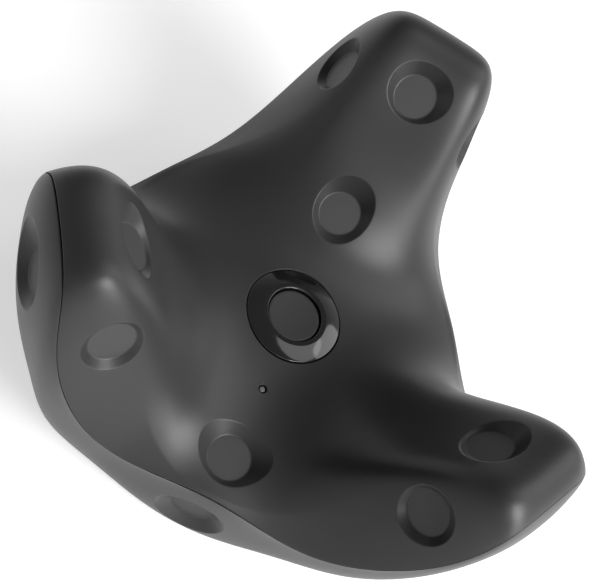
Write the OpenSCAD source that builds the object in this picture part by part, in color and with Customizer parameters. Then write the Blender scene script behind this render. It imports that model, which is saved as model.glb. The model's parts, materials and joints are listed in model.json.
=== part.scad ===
// Virtual reality motion tracker: a dished centre between three raised arms,
// with sensor windows on every side and a tripod thread under a rubber pad.
// The origin is the mouth of the thread, +Z is up and +Y points along one arm.

/* [Overall shape] */
// Height of the flat centre of the cover
centre_z = 20.4; // [19.8:0.1:21.2]
// Outline radius half way between two arms
valley_r = 28.5; // [28:0.1:29.5]
// Outline radius at the end of an arm
arm_r = 39.7; // [39:0.1:41]
// Rise of an arm's crest above the flat centre
arm_rise = 25.3; // [24.3:0.1:26.5]
// Distance from the centre at which an arm starts to rise
rise_start = 11.8; // [11.4:0.1:12.4]
// Distance from the centre of an arm's crest
rise_end = 36.7; // [36:0.1:37.6]
// Half width of an arm, half way up its flank
arm_half_w = 12.75; // [12.3:0.05:13.3]
// Fall of the cover from the flat centre to the rim between two arms
valley_drop = 4.2; // [3.8:0.1:4.6]
// Radius of the flat underside
foot_r = 26.5; // [26.2:0.1:27.2]

/* [Shells] */
// Wall thickness of the cover and the bottom shell
wall = 1.8; // [1.6:0.1:2]
// Height of the groove between the cover and the bottom shell
seam_gap = 0.25; // [0.15:0.05:0.35]
// Clearance between parts that fit inside one another
fit_gap = 0.15; // [0.1:0.05:0.2]

/* [Sensor windows] */
// Diameter of a window's flat floor
window_d = 5.6; // [5.2:0.1:5.8]
// Diameter of a window's rim, on a face square to it
window_rim_d = 7.9; // [7.6:0.1:8.2]
// Depth of a window's floor
window_depth = 1.1; // [1:0.05:1.2]
// Thickness of the plastic behind a window's floor
window_t = 0.7; // [0.6:0.05:0.8]
// Diameter of a sensor's round board
sensor_d = 6.4; // [6:0.1:6.6]

/* [Button and light] */
// Outer diameter of the ring round the button
ring_d = 14; // [13.4:0.1:14.4]
// Diameter of the button
button_d = 7.8; // [7.4:0.1:8]
// Travel of the button
button_travel = 0.35; // [0.2:0.05:0.4]
// Distance of the status light from the centre
light_r = 12.3; // [11.8:0.1:12.8]
// Diameter of the status light
light_d = 0.8; // [0.7:0.05:1]

/* [Base] */
// Thickness of the rubber pad
pad_t = 0.8; // [0.7:0.1:1]
// Radius of the rubber pad
pad_r = 25; // [24.8:0.1:25.4]
// Minor diameter of the 1/4 inch tripod thread
thread_d = 5.13; // [5.08:0.01:5.18]
// Depth of the tripod thread
thread_depth = 6; // [5.5:0.1:6]
// Diameter of the hole for a stabilising pin
pin_hole_d = 4.6; // [4.5:0.1:4.8]
// Distance of the stabilising pin's hole from the thread
pin_hole_y = 13.5; // [13.3:0.1:13.8]
// Radius of the base plate
plate_r = 19; // [18.8:0.1:19.1]
// Thickness of the bottom shell's floor
floor_t = 2.2; // [2:0.1:2.4]

/* [Inside] */
// Height of the main board's underside
board_z = 14; // [13.9:0.05:14.1]
// Thickness of the main board
board_t = 1; // [0.8:0.1:1]
// Battery length
battery_l = 29; // [26:0.5:29.5]
// Battery width
battery_w = 21; // [18:0.5:21.5]
// Battery thickness
battery_t = 4.6; // [4:0.1:4.8]

/* [Side windows] */
// Diameter of the floor of a window in the bottom shell
side_window_d = 6; // [5.6:0.1:6.2]
// Depth of a window's floor in the end of an arm
end_depth = 2.2; // [2.1:0.05:2.3]
// Depth of a window's floor between two arms
low_depth = 1.8; // [1.7:0.05:1.9]

/* [Hidden] */
$fn = 64;

// Azimuths of the three arms and of the valleys between them
ARMS = [90, 210, 330];
VALLEYS = [270, 30, 150];
// Arm a is at +Y. Valley a faces it, and valley b holds the charging port
LETTERS = ["a", "b", "c"];
USB_AZ = VALLEYS[1];

// Grid of the faceted shells
AZ_STEPS = 108;
TOP_RINGS = 22;
WALL_RINGS = 12;
IN_STEPS = 72;
IN_RINGS = 12;
IN_WALL_RINGS = 7;

// Roundness of the outline and of the arms
outline_power = 19;
tip_power = 1.18;
side_power = 1.18;
flank_power = 5.6;
crown = -0.2;
arm_flare = 0.04;
droop_power = 4.2;
droop_ref = 28;
tip_fall = 1.7;
corner_fall = 1.65;
corner_ref = 12;
fall_start = 0.65;

// Wall below the seam: [arm, valley, flank] weights of its curve
wall_bulge = [6.3, 0.1, -3.15];
wall_start = [0.18, 0.16, 0.15];
wall_reach = [0.64, 0.84, 0.74];
foot_z = 0.4;
floor_z = foot_z + floor_t;

// Seam surface, which slopes inwards and down from the seam line
land = 3.6;
close_r = 21.5;
close_low_z = 6;
close_high_r = 20;
close_high_z = board_z + board_t + 0.9;

function outline_r(a) = pow(
    pow(pow(max(0, cos(a - ARMS[0])), tip_power) / arm_r, outline_power) +
    pow(pow(max(0, cos(a - ARMS[1])), tip_power) / arm_r, outline_power) +
    pow(pow(max(0, cos(a - ARMS[2])), tip_power) / arm_r, outline_power) +
    pow(pow(max(0, cos(a - VALLEYS[0])), side_power) / valley_r, outline_power) +
    pow(pow(max(0, cos(a - VALLEYS[1])), side_power) / valley_r, outline_power) +
    pow(pow(max(0, cos(a - VALLEYS[2])), side_power) / valley_r, outline_power),
    -1 / outline_power);

function smooth(t) = t * t * (3 - 2 * t);
function arm_z(u, v) =
    let (t = min(1.45, max(0, (u - rise_start) / (rise_end - rise_start))))
    let (q = abs(v) / (arm_half_w + arm_flare * (u - 30)))
    arm_rise * smooth(t) / (1 + crown * q * q + pow(q, flank_power));

// 1 at an arm's azimuth, 0 at a valley's
function arm_share(a) = 0.5 * (1 - sin(3 * a));
function off_arm(a) = (a + 690) % 120 - 60;

// Height of the cover at radius r and azimuth a, where rho is r over the outline's radius
function cover_z(r, a, rho) =
    let (v = r * sin(off_arm(a)))
    centre_z
    + arm_z(r * cos(a - ARMS[0]), r * sin(a - ARMS[0]))
    + arm_z(r * cos(a - ARMS[1]), r * sin(a - ARMS[1]))
    + arm_z(r * cos(a - ARMS[2]), r * sin(a - ARMS[2]))
    - valley_drop * pow(r / droop_ref, droop_power) * (1 - arm_share(a))
    - arm_share(a) * (tip_fall + corner_fall * pow(v / corner_ref, 2))
        * pow(max(0, rho - fall_start) / (1 - fall_start), 2);
function cover_at(x, y) =
    let (r = norm([x, y]))
    let (a = atan2(y, x))
    cover_z(r, a, r / outline_r(a));
// Height of the cover's inside: the wall measured square to the slope
function inside_at(x, y) =
    let (e = 0.1)
    let (z = cover_at(x, y))
    let (sx = (cover_at(x + e, y) - cover_at(x - e, y)) / (2 * e))
    let (sy = (cover_at(x, y + e) - cover_at(x, y - e)) / (2 * e))
    z - wall * min(2.6, sqrt(1 + sx * sx + sy * sy));

// Mixes three weights by azimuth: arm, valley, flank
function by_az(w, a) =
    let (c = -sin(3 * a))
    let (arm = pow(max(0, c), 2))
    let (valley = pow(max(0, -c), 2))
    w[0] * arm + w[1] * valley + w[2] * (1 - arm - valley);
function bezier(p, t) =
    pow(1 - t, 3) * p[0] + 3 * pow(1 - t, 2) * t * p[1] + 3 * (1 - t) * t * t * p[2] + pow(t, 3) * p[3];
// Radius and height of the outside wall, from the seam (t 0) to the foot (t 1)
function wall_rz(a, t) =
    let (r = outline_r(a))
    let (z = cover_z(r, a, 1))
    [bezier([r, r + by_az(wall_bulge, a), foot_r + by_az(wall_reach, a) * (r - foot_r), foot_r], t),
     foot_z + bezier([z - foot_z, (z - foot_z) * (1 - by_az(wall_start, a)), 0, 0], t)];
// The same for the cavity: a wall further in, and a floor further up
function in_wall_rz(a, t) =
    let (p = wall_rz(a, t))
    let (top = wall_rz(a, 0))
    let (r = top[0] - wall)
    let (z = inside_at(r * cos(a), r * sin(a)))
    [p[0] - wall, floor_z + (p[1] - foot_z) * (z - floor_z) / (top[1] - foot_z)];
function polar(rz, a) = [rz[0] * cos(a), rz[0] * sin(a), rz[1]];
// Azimuths of a ring's points, crowded towards the arms
az_crowding = 7.6;
function az(i, n) = ARMS[0] + 360 * i / n - az_crowding * sin(3 * 360 * i / n);

// A closed solid from rings of n points between a first and a last point
module ringed(first, rings, last, n) {
    count = len(rings);
    points = concat([first], [for (ring = rings) for (p = ring) p], [last]);
    cap_a = [for (i = [0 : n - 1]) [0, 1 + (i + 1) % n, 1 + i]];
    sides = [for (k = [0 : count - 2]) for (i = [0 : n - 1]) for (half = [0, 1])
        let (a = 1 + k * n + i)
        let (b = 1 + k * n + (i + 1) % n)
        half == 0 ? [a, b, a + n] : [b, b + n, a + n]];
    end = 1 + count * n;
    cap_b = [for (i = [0 : n - 1]) [end, end - n + i, end - n + (i + 1) % n]];
    polyhedron(points = points, faces = concat(cap_a, sides, cap_b), convexity = 10);
}

// Rings across the cover, crowded a little towards the rim
function cover_ring(k) =
    let (rho = pow(k / TOP_RINGS, 0.85))
    [for (i = [0 : AZ_STEPS - 1]) let (a = az(i, AZ_STEPS)) let (r = rho * outline_r(a))
        polar([r, cover_z(r, a, rho)], a)];
function wall_ring(k) =
    [for (i = [0 : AZ_STEPS - 1]) let (a = az(i, AZ_STEPS)) polar(wall_rz(a, k / WALL_RINGS), a)];
function seam_ring(inwards, lift) =
    [for (i = [0 : AZ_STEPS - 1]) let (a = az(i, AZ_STEPS)) let (p = wall_rz(a, 0))
        polar([p[0] - inwards, p[1] - inwards + lift], a)];
function level_ring(r, z, n) = [for (i = [0 : n - 1]) polar([r, z], az(i, n))];

// Everything of the outer form that is above the seam
module upper_form() {
    rings = concat(
        [for (k = [1 : TOP_RINGS - 1]) cover_ring(k)],
        [seam_ring(0, seam_gap / 2), seam_ring(land, seam_gap / 2)],
        [level_ring(close_r, close_low_z, AZ_STEPS)]);
    ringed([0, 0, centre_z], rings, [0, 0, close_low_z], AZ_STEPS);
}
// Everything of the outer form that is below the seam
module lower_form() {
    rings = concat(
        [level_ring(close_high_r, close_high_z, AZ_STEPS)],
        [seam_ring(land, -seam_gap / 2), seam_ring(0, -seam_gap / 2)],
        [for (k = [1 : WALL_RINGS]) wall_ring(k)]);
    ringed([0, 0, close_high_z], rings, [0, 0, foot_z], AZ_STEPS);
}
function in_ring(k) =
    [for (i = [0 : IN_STEPS - 1]) let (a = az(i, IN_STEPS)) let (r = (outline_r(a) - wall) * k / IN_RINGS)
        [r * cos(a), r * sin(a), inside_at(r * cos(a), r * sin(a))]];
function in_wall_ring(k) =
    [for (i = [0 : IN_STEPS - 1]) let (a = az(i, IN_STEPS)) polar(in_wall_rz(a, k / IN_WALL_RINGS), a)];
module cavity() {
    rings = concat(
        [for (k = [1 : IN_RINGS]) in_ring(k)],
        [for (k = [1 : IN_WALL_RINGS]) in_wall_ring(k)]);
    ringed([0, 0, centre_z - wall], rings, [0, 0, floor_z], IN_STEPS);
}

// Windows: [point on the surface, azimuth, elevation, floor radius, depth, slope, reach]
window_slope = (window_rim_d - window_d) / 2 / window_depth;
side_slope = 1.43;
top_reach = 1.6;
side_reach = 4;
inner_u = arm_r - 10.8;
inner_tilt = 50;
flank_u = arm_r - 8.1;
flank_v = arm_half_w - 1.45;
flank_turn = 96;
flank_tilt = 20;
ramp_u = rise_start + 5.3;
ramp_tilt = 52;
dish_r = valley_r - 5.9;
dish_tilt = 80;
end_z = centre_z + 0.44 * arm_rise;
end_tilt = 8;
under_z = centre_z - 6.4;
under_tilt = -25;
low_z = foot_z + 6;
low_tilt = 0;

function arm_xy(k, u, v) = [u * cos(ARMS[k]) - v * sin(ARMS[k]), u * sin(ARMS[k]) + v * cos(ARMS[k])];
function on_cover(xy) = [xy[0], xy[1], cover_at(xy[0], xy[1])];
// Point of the outside wall at azimuth a and height z, by halving the curve's range
function wall_t(a, z, low = 0, high = 1, n = 16) =
    let (mid = (low + high) / 2)
    n == 0 ? mid : wall_rz(a, mid)[1] > z ? wall_t(a, z, mid, high, n - 1) : wall_t(a, z, low, mid, n - 1);
function on_wall(a, z) = polar([wall_rz(a, wall_t(a, z))[0], z], a);

function top_window(p, a, el) = [p, a, el, window_d / 2, window_depth, window_slope, top_reach];
function inner_window(k) = top_window(on_cover(arm_xy(k, inner_u, 0)), ARMS[k] + 180, inner_tilt);
function flank_window(k, side) =
    top_window(on_cover(arm_xy(k, flank_u, side * flank_v)), ARMS[k] + side * flank_turn, flank_tilt);
ramp_window = top_window(on_cover(arm_xy(0, ramp_u, 0)), ARMS[0] + 180, ramp_tilt);
dish_window = top_window(on_cover(polar([dish_r, 0], VALLEYS[0])), VALLEYS[0], dish_tilt);
function side_window(a, z, el, depth) =
    [on_wall(a, z), a, el, side_window_d / 2, depth, side_slope, side_reach];
function end_window(k) = side_window(ARMS[k], end_z, end_tilt, end_depth);
function under_window(k) = side_window(ARMS[k], under_z, under_tilt, low_depth);
function low_window(k) = side_window(VALLEYS[k], low_z, low_tilt, low_depth);
LOW_VALLEYS = [0, 2];

top_windows = concat(
    [for (k = [0 : 2]) inner_window(k)],
    [for (k = [0 : 2]) flank_window(k, 1)],
    [for (k = [0 : 2]) flank_window(k, -1)],
    [ramp_window, dish_window]);
side_windows = concat(
    [for (k = [0 : 2]) end_window(k)],
    [for (k = [0 : 2]) under_window(k)],
    [for (k = LOW_VALLEYS) low_window(k)]);

// Puts its children at a window, with +Z out of the window and 0 on the surface
module at_window(w) {
    translate(w[0])
        rotate([0, 90 - w[2], w[1]])
            children();
}
// A cone that opens outwards from a depth below the surface to a window's reach above it.
// It is twisted a little, to keep its seam off the corners of the shells' own grid
window_twist = 17;
module window_cone(w, r, depth) {
    at_window(w)
        rotate([0, 0, window_twist])
            translate([0, 0, -depth])
                cylinder(r1 = r, r2 = r + (depth + w[6]) * w[5], h = depth + w[6]);
}
module window_cut(w) {
    window_cone(w, w[3], w[4]);
}
// Plastic that closes the wall behind a window
cup_rim = 1;
module window_cup(w) {
    window_cone(w, w[3] + cup_rim, w[4] + window_t);
}

// Screws that hold the cover from below
cover_screw_u = 22.5;
cover_screw_v = 6;
post_r = 2.6;
post_top = board_z + board_t + 0.8;
boss_r = 2.2;
screw_seat_z = 9;
screw_head_r = 1.7;
screw_head_h = 1.3;
screw_r = 0.95;
cover_screw_end = 20.5;
// Slip of a screw in a plain hole, and in the hole that its thread bites into
hole_slip = 0.15;
thread_slip = 0.05;
// Depth left past a screw's tip
tip_relief = 0.5;
// How far a cut runs past the face that it opens
past = 1;
// Length of a cut that goes right through
through = 20;

module cylinder_from(low, high, r) {
    translate([0, 0, low])
        cylinder(r = r, h = high - low);
}
module at_cover_screws() {
    for (k = [0 : 2])
        translate(concat(arm_xy(k, cover_screw_u, cover_screw_v), 0))
            children();
}

// Ring round the button, and its seat in the cover
ring_lip_z = centre_z - 1.1;
ring_sleeve_r = 5.2;
ring_top_z = centre_z + 0.35;
ring_bevel = 0.6;
// Gap of the light pipe in its hole
light_slip = 0.2;

module top_cover() {
    color([0.13, 0.13, 0.13])
    difference() {
        upper_form();
        difference() {
            cavity();
            for (w = top_windows)
                window_cup(w);
            at_cover_screws()
                translate([0, 0, post_top + fit_gap])
                    cylinder(r = boss_r, h = arm_rise);
        }
        for (w = top_windows)
            window_cut(w);
        at_cover_screws()
            translate([0, 0, post_top])
                cylinder(r = screw_r + thread_slip, h = cover_screw_end - post_top + tip_relief);
        translate([0, 0, ring_lip_z])
            cylinder(r = ring_d / 2 + fit_gap, h = through);
        translate([0, 0, close_low_z])
            cylinder(r = ring_sleeve_r + fit_gap, h = through);
        translate([0, -light_r, close_low_z])
            cylinder(d = light_d + 2 * light_slip, h = through);
    }
}

// Charging port
usb_w = 8.94;
usb_h = 3.16;
usb_l = 9.3;
usb_skin = 0.3;
usb_mouth_inset = 0.8;
port_slip = 0.25;
port_cut = 9;
usb_z = board_z - usb_h / 2;
usb_mouth_r = valley_r - usb_mouth_inset;
module usb_profile(w, h) {
    for (side = [-1, 1])
        translate([side * (w - h) / 2, 0])
            circle(d = h);
    square([w - h, h], center = true);
}
// Draws a profile across the port's axis, from radius r inwards over a length
module at_port(r) {
    rotate([0, 0, USB_AZ])
        translate([r, 0, usb_z])
            rotate([90, 0, -90])
                children();
}

module bottom_shell() {
    color([0.16, 0.16, 0.16])
    difference() {
        lower_form();
        difference() {
            cavity();
            for (w = side_windows)
                window_cup(w);
            at_cover_screws()
                cylinder(r = post_r, h = post_top);
        }
        for (w = side_windows)
            window_cut(w);
        at_cover_screws() {
            cylinder_from(-past, screw_seat_z, screw_head_r + hole_slip);
            cylinder_from(0, post_top + past, screw_r + hole_slip);
        }
        cylinder_from(-past, pad_t, pad_r + fit_gap);
        cylinder_from(0, floor_z + past, plate_r + fit_gap);
        at_port(valley_r + 4 * past)
            linear_extrude(port_cut)
                usb_profile(usb_w + 2 * port_slip, usb_h + 2 * port_slip);
    }
}

// Rubber pad, with openings for the thread, the stabilising pin and the contacts
insert_r = 4.75;
contact_y = -10.6;
contact_w = 13.4;
contact_h = 3.4;
pad_slip = 0.3;
module pad_openings() {
    circle(r = insert_r + pad_slip);
    translate([0, pin_hole_y])
        circle(d = pin_hole_d + 2 * pad_slip);
    translate([0, contact_y])
        usb_profile(contact_w + 2 * pad_slip, contact_h + 2 * pad_slip);
}
module friction_pad() {
    color([0.08, 0.08, 0.08])
    linear_extrude(pad_t)
        difference() {
            circle(r = pad_r);
            pad_openings();
        }
}

// Base plate: a flange inside the shell's floor carries the pull of the thread
flange_r = plate_r + 1.4;
// Gap between faces that are screwed down on one another
seat_gap = 0.05;
flange_z = floor_z + seat_gap;
flange_t = 1.2;
plate_top = flange_z + flange_t;
boss_wall = 2.3;
insert_flange_r = insert_r + 1.2;
insert_top = thread_depth + 1.2;
insert_seat = thread_depth + 0.3;
leg_r = 16.4;
leg_d = 4.8;
base_screw_seat = pad_t + 1.35;
pin_boss_wall = 1.2;
pin_boss_t = 1.3;
pin_floor = 0.6;
contact_slip = 0.1;
// How far one solid runs into another that it is joined to
joint_overlap = 0.5;
module at_legs() {
    for (a = VALLEYS)
        rotate([0, 0, a])
            translate([leg_r, 0, 0])
                children();
}
module base_plate() {
    color([0.2, 0.2, 0.2])
    difference() {
        union() {
            cylinder_from(pad_t, plate_top, plate_r);
            cylinder_from(flange_z, plate_top, flange_r);
            cylinder_from(plate_top - joint_overlap, insert_top, insert_r + boss_wall);
            translate([0, pin_hole_y, 0])
                cylinder_from(
                    plate_top - joint_overlap, plate_top + pin_boss_t, pin_hole_d / 2 + pin_boss_wall);
        }
        cylinder_from(-past, insert_seat + past, insert_r + seat_gap);
        cylinder_from(insert_seat, insert_top + past, insert_flange_r + seat_gap);
        translate([0, pin_hole_y, 0])
            cylinder_from(-past, plate_top + pin_boss_t - pin_floor, pin_hole_d / 2);
        translate([0, contact_y, 0])
            linear_extrude(plate_top + past)
                usb_profile(contact_w + 2 * contact_slip, contact_h + 2 * contact_slip);
        at_legs() {
            cylinder_from(-past, base_screw_seat, screw_head_r + hole_slip);
            cylinder_from(-past, plate_top + past, screw_r + hole_slip);
        }
    }
}
module thread_insert() {
    color([0.72, 0.62, 0.4])
    difference() {
        union() {
            cylinder_from(0, insert_top, insert_r);
            cylinder_from(insert_seat + seat_gap, insert_top, insert_flange_r);
        }
        cylinder_from(-past, thread_depth, thread_d / 2);
    }
}
// Block of charging contacts
contact_floor = pad_t + 0.5;
contact_pitch = 1.9;
contact_r = 0.65;
contact_t = 0.5;
contact_lip = 0.6;
contact_lip_t = 0.75;
block_top = plate_top + seat_gap + contact_lip_t;
module contact_block() {
    color([0.1, 0.1, 0.1])
    translate([0, contact_y, 0])
        difference() {
            union() {
                translate([0, 0, pad_t])
                    linear_extrude(block_top - pad_t)
                        usb_profile(contact_w, contact_h);
                translate([0, 0, block_top - contact_lip_t])
                    linear_extrude(contact_lip_t)
                        usb_profile(contact_w + 2 * contact_lip, contact_h + 2 * contact_lip);
            }
            at_contacts()
                cylinder_from(-past, contact_floor + contact_t, contact_r + seat_gap);
        }
}
CONTACTS = 6;
module at_contacts() {
    for (i = [0 : CONTACTS - 1])
        translate([(i - (CONTACTS - 1) / 2) * contact_pitch, 0, 0])
            children();
}
module contact_pads() {
    color([0.8, 0.68, 0.35])
    translate([0, contact_y, 0])
        at_contacts()
            cylinder_from(contact_floor, contact_floor + contact_t, contact_r);
}

// Frame that carries the battery and the main board
frame_z = 7.6;
frame_t = 0.8;
frame_r = 19;
// The board's radius, and the screwed ears on it and on the frame
board_r = 20.3;
ear_r = board_r + 1.1;
ear_w = 4.6;
ear_post_r = 2.1;
rail_t = 0.9;
rail_h = 3;
rail_y = battery_w / 2 + fit_gap + rail_t / 2;
board_screw_depth = 3.5;
module at_ears() {
    for (a = ARMS)
        rotate([0, 0, a])
            translate([ear_r, 0, 0])
                children();
}
module inner_frame() {
    color([0.3, 0.3, 0.32])
    difference() {
        union() {
            cylinder_from(frame_z, frame_z + frame_t, frame_r);
            for (a = ARMS)
                rotate([0, 0, a])
                    translate([frame_r - ear_w, -ear_w / 2, frame_z])
                        cube([ear_r - frame_r + ear_w, ear_w, frame_t]);
            at_ears()
                cylinder_from(frame_z, board_z, ear_post_r);
            at_legs()
                cylinder_from(plate_top + seat_gap, frame_z + frame_t, leg_d / 2);
            for (side = [-1, 1])
                translate([-battery_l / 4, side * rail_y - rail_t / 2, frame_z])
                    cube([battery_l / 2, rail_t, frame_t + rail_h]);
        }
        at_ears()
            cylinder_from(board_z - board_screw_depth - tip_relief, board_z + past, screw_r + thread_slip);
        at_legs()
            cylinder_from(plate_top - past, frame_z, screw_r + thread_slip);
    }
}
battery_z = frame_z + frame_t + 2 * seat_gap;
battery_corner = 1.2;
module battery_cell() {
    color([0.25, 0.27, 0.3])
    translate([0, 0, battery_z])
        linear_extrude(battery_t)
            rounded_plate(battery_l, battery_w, battery_corner);
}
module rounded_plate(l, w, r) {
    for (x = [-1, 1])
        for (y = [-1, 1])
            translate([x * (l / 2 - r), y * (w / 2 - r)])
                circle(r = r);
    square([l - 2 * r, w], center = true);
    square([l, w - 2 * r], center = true);
}

// Main board, its lobe for the charging port and its ears
lobe_r = usb_mouth_r - 2.7;
lobe_w = 12;
module main_board() {
    color([0.05, 0.2, 0.12])
    translate([0, 0, board_z])
        linear_extrude(board_t)
            difference() {
                union() {
                    circle(r = board_r);
                    rotate(USB_AZ)
                        translate([0, -lobe_w / 2])
                            square([lobe_r, lobe_w]);
                    for (a = ARMS)
                        rotate(a) {
                            translate([0, -ear_w / 2])
                                square([ear_r, ear_w]);
                            translate([ear_r, 0])
                                circle(d = ear_w);
                        }
                }
                for (a = ARMS)
                    rotate(a)
                        translate([ear_r, 0])
                            circle(r = screw_r + hole_slip);
            }
}
board_top = board_z + board_t;
// A chip on the board's upper side
chip_t = 0.9;
module chip(at, turn, size) {
    translate([at[0], at[1], board_top])
        rotate(turn)
            translate([-size[0] / 2, -size[1] / 2, 0])
                cube(size);
}
// Places and widths of the chips
processor_at = [-8.8, -1.5];
processor_w = 7;
timing_at = [8.3, -3.4];
timing_w = 6;
motion_at = [0, 7.4];
motion_w = 3;
radio_at = [-9.5, 7.5];
radio_w = 5;
charger_at = [11, 6.4];
charger_w = 4;
antenna_at = [-15.2, 9];
antenna_size = [6.5, 2.2, 1.1];
module processor_chip() {
    color([0.1, 0.1, 0.1]) chip(processor_at, 0, [processor_w, processor_w, chip_t]);
}
module timing_chip() {
    color([0.1, 0.1, 0.1]) chip(timing_at, 0, [timing_w, timing_w, chip_t]);
}
module motion_chip() {
    color([0.12, 0.12, 0.12]) chip(motion_at, 0, [motion_w, motion_w, chip_t]);
}
module radio_chip() {
    color([0.1, 0.1, 0.1]) chip(radio_at, 0, [radio_w, radio_w, chip_t]);
}
module charger_chip() {
    color([0.1, 0.1, 0.1]) chip(charger_at, USB_AZ, [charger_w, charger_w, chip_t]);
}
module antenna() {
    color([0.75, 0.75, 0.7]) chip(antenna_at, VALLEYS[2] - 90, antenna_size);
}
led_size = [1.6, 0.8, 0.7];
module status_led() {
    color([0.9, 0.9, 0.85]) chip([0, -light_r], 0, led_size);
}
pipe_foot_r = 0.9;
pipe_flange_r = 1.3;
pipe_flange_t = 0.6;
pipe_gap = 0.1;
module light_pipe() {
    pipe_seat = inside_at(0, -light_r) - pipe_gap;
    color([0.75, 0.75, 0.75])
    translate([0, -light_r, 0]) {
        cylinder_from(board_top + led_size[2] + pipe_gap, pipe_seat - pipe_flange_t, pipe_foot_r);
        cylinder_from(pipe_seat - pipe_flange_t, pipe_seat, pipe_flange_r);
        cylinder_from(pipe_seat, cover_at(0, -light_r) - seat_gap, light_d / 2);
    }
}

// Button, switch and ring
switch_w = 4.5;
switch_h = 1.2;
plunger_r = 1;
plunger_slip = 0.1;
// The plunger stands out of the switch by more than its travel, with room below it too
plunger_rise = button_travel + plunger_slip;
plunger_seat_z = board_top + 0.3;
plunger_foot_z = plunger_seat_z + button_travel + 2 * plunger_slip;
switch_top = board_top + switch_h;
button_foot_z = switch_top + plunger_rise + 0.02;
button_flange_t = 0.6;
button_flange_r = ring_sleeve_r - 0.3;
button_top_z = centre_z - 0.05;
module switch_body() {
    color([0.6, 0.6, 0.6])
    difference() {
        translate([-switch_w / 2, -switch_w / 2, board_top])
            cube([switch_w, switch_w, switch_h]);
        cylinder_from(plunger_seat_z, switch_top + past, plunger_r + plunger_slip);
    }
}
module switch_plunger() {
    color([0.15, 0.15, 0.15])
        cylinder_from(plunger_foot_z, switch_top + plunger_rise, plunger_r);
}
button_edge = 0.25;
module power_button() {
    flange_top = button_foot_z + button_flange_t;
    color([0.2, 0.2, 0.2])
    rotate_extrude()
        polygon([
            [0, button_foot_z], [button_flange_r, button_foot_z], [button_flange_r, flange_top],
            [button_d / 2, flange_top], [button_d / 2, button_top_z - button_edge],
            [button_d / 2 - button_edge, button_top_z], [0, button_top_z]]);
}
ring_edge = 0.2;
module button_ring() {
    sleeve_r = button_d / 2 + fit_gap;
    sleeve_z = button_foot_z + button_flange_t + seat_gap;
    lip_z = ring_lip_z + seat_gap;
    color([0.02, 0.02, 0.02])
    rotate_extrude()
        polygon([
            [sleeve_r, sleeve_z], [ring_sleeve_r, sleeve_z], [ring_sleeve_r, lip_z],
            [ring_d / 2, lip_z], [ring_d / 2, ring_top_z - ring_bevel],
            [ring_d / 2 - ring_bevel, ring_top_z], [sleeve_r + ring_edge, ring_top_z],
            [sleeve_r, ring_top_z - ring_edge]]);
}

// Charging port's metal shell and tongue
usb_back_t = 0.8;
tongue_inset = 0.9;
tongue_w = 6.6;
tongue_t = 0.7;
module usb_receptacle() {
    color([0.7, 0.7, 0.72])
    at_port(usb_mouth_r) {
        difference() {
            linear_extrude(usb_l)
                usb_profile(usb_w, usb_h);
            translate([0, 0, -past])
                linear_extrude(usb_l - usb_back_t + past)
                    usb_profile(usb_w - 2 * usb_skin, usb_h - 2 * usb_skin);
        }
    }
}
module usb_tongue() {
    color([0.1, 0.1, 0.1])
    at_port(usb_mouth_r - tongue_inset)
        translate([-tongue_w / 2, -tongue_t / 2, 0])
            cube([tongue_w, tongue_t, usb_l - usb_back_t - tongue_inset]);
}

// Battery connector under the board, and the two leads into it
lead_d = 0.9;
lead_gap = 1.6;
lead_z = 11.2;
lead_bend = 1;
connector_size = [3, 4, 1.3];
connector_x = -battery_l / 2 - 2.4;
connector_y = 3;
connector_z = board_z - connector_size[2];
module battery_connector() {
    color([0.9, 0.88, 0.8])
    translate([connector_x, connector_y, connector_z])
        translate([-connector_size[0] / 2, -connector_size[1] / 2, 0])
            cube(connector_size);
}
module battery_leads() {
    color([0.6, 0.1, 0.08])
    for (side = [-1, 1])
        translate([0, connector_y + side * lead_gap / 2, 0]) {
            translate([-battery_l / 2, 0, lead_z])
                rotate([0, -90, 0])
                    cylinder(d = lead_d, h = -connector_x - lead_bend - battery_l / 2);
            translate([connector_x + lead_bend, 0, lead_z + lead_bend])
                rotate([-90, 0, 0])
                    rotate([0, 0, 90])
                        rotate_extrude(angle = 90)
                            translate([lead_bend, 0])
                                circle(d = lead_d);
            translate([connector_x, 0, lead_z + lead_bend])
                cylinder(d = lead_d, h = connector_z - lead_z - lead_bend);
        }
}

// Screws: a head below its seat, or above it, with a round drive hole, and a plain shank
drive_r = 0.6;
drive_depth = 0.7;
module screw(seat, tip) {
    up = tip > seat ? 1 : -1;
    head_low = up > 0 ? seat - screw_head_h : seat;
    difference() {
        cylinder_from(head_low, head_low + screw_head_h, screw_head_r);
        translate([0, 0, up > 0 ? head_low : head_low + screw_head_h])
            cylinder_from(-drive_depth, drive_depth, drive_r);
    }
    cylinder_from(min(seat, tip), max(seat, tip), screw_r);
}
module cover_screws() {
    color([0.5, 0.5, 0.5])
        at_cover_screws()
            screw(screw_seat_z, cover_screw_end);
}
module board_screws() {
    color([0.5, 0.5, 0.5])
        at_ears()
            screw(board_top, board_z - board_screw_depth);
}
module base_screws() {
    color([0.5, 0.5, 0.5])
        at_legs()
            screw(base_screw_seat, frame_z - tip_relief);
}

// Ribbons from the main board up into the arms, and their connectors
flex_w = 4;
flex_t = 0.3;
flex_size = [2.8, 5.2, 1];
flex_connector_u = 15.4;
module flex_connector(k) {
    color([0.85, 0.82, 0.75])
    rotate(ARMS[k])
        translate([flex_connector_u - flex_size[0] / 2, -flex_size[1] / 2, board_top])
            cube(flex_size);
}
// A sensor: a chip against the window's back, on its own round board
sensor_gap = 0.1;
sensor_chip = [3.2, 3.2, 0.9];
sensor_board_t = 0.6;
sensor_stack = window_t + sensor_gap + sensor_chip[2] + sensor_board_t;
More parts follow.
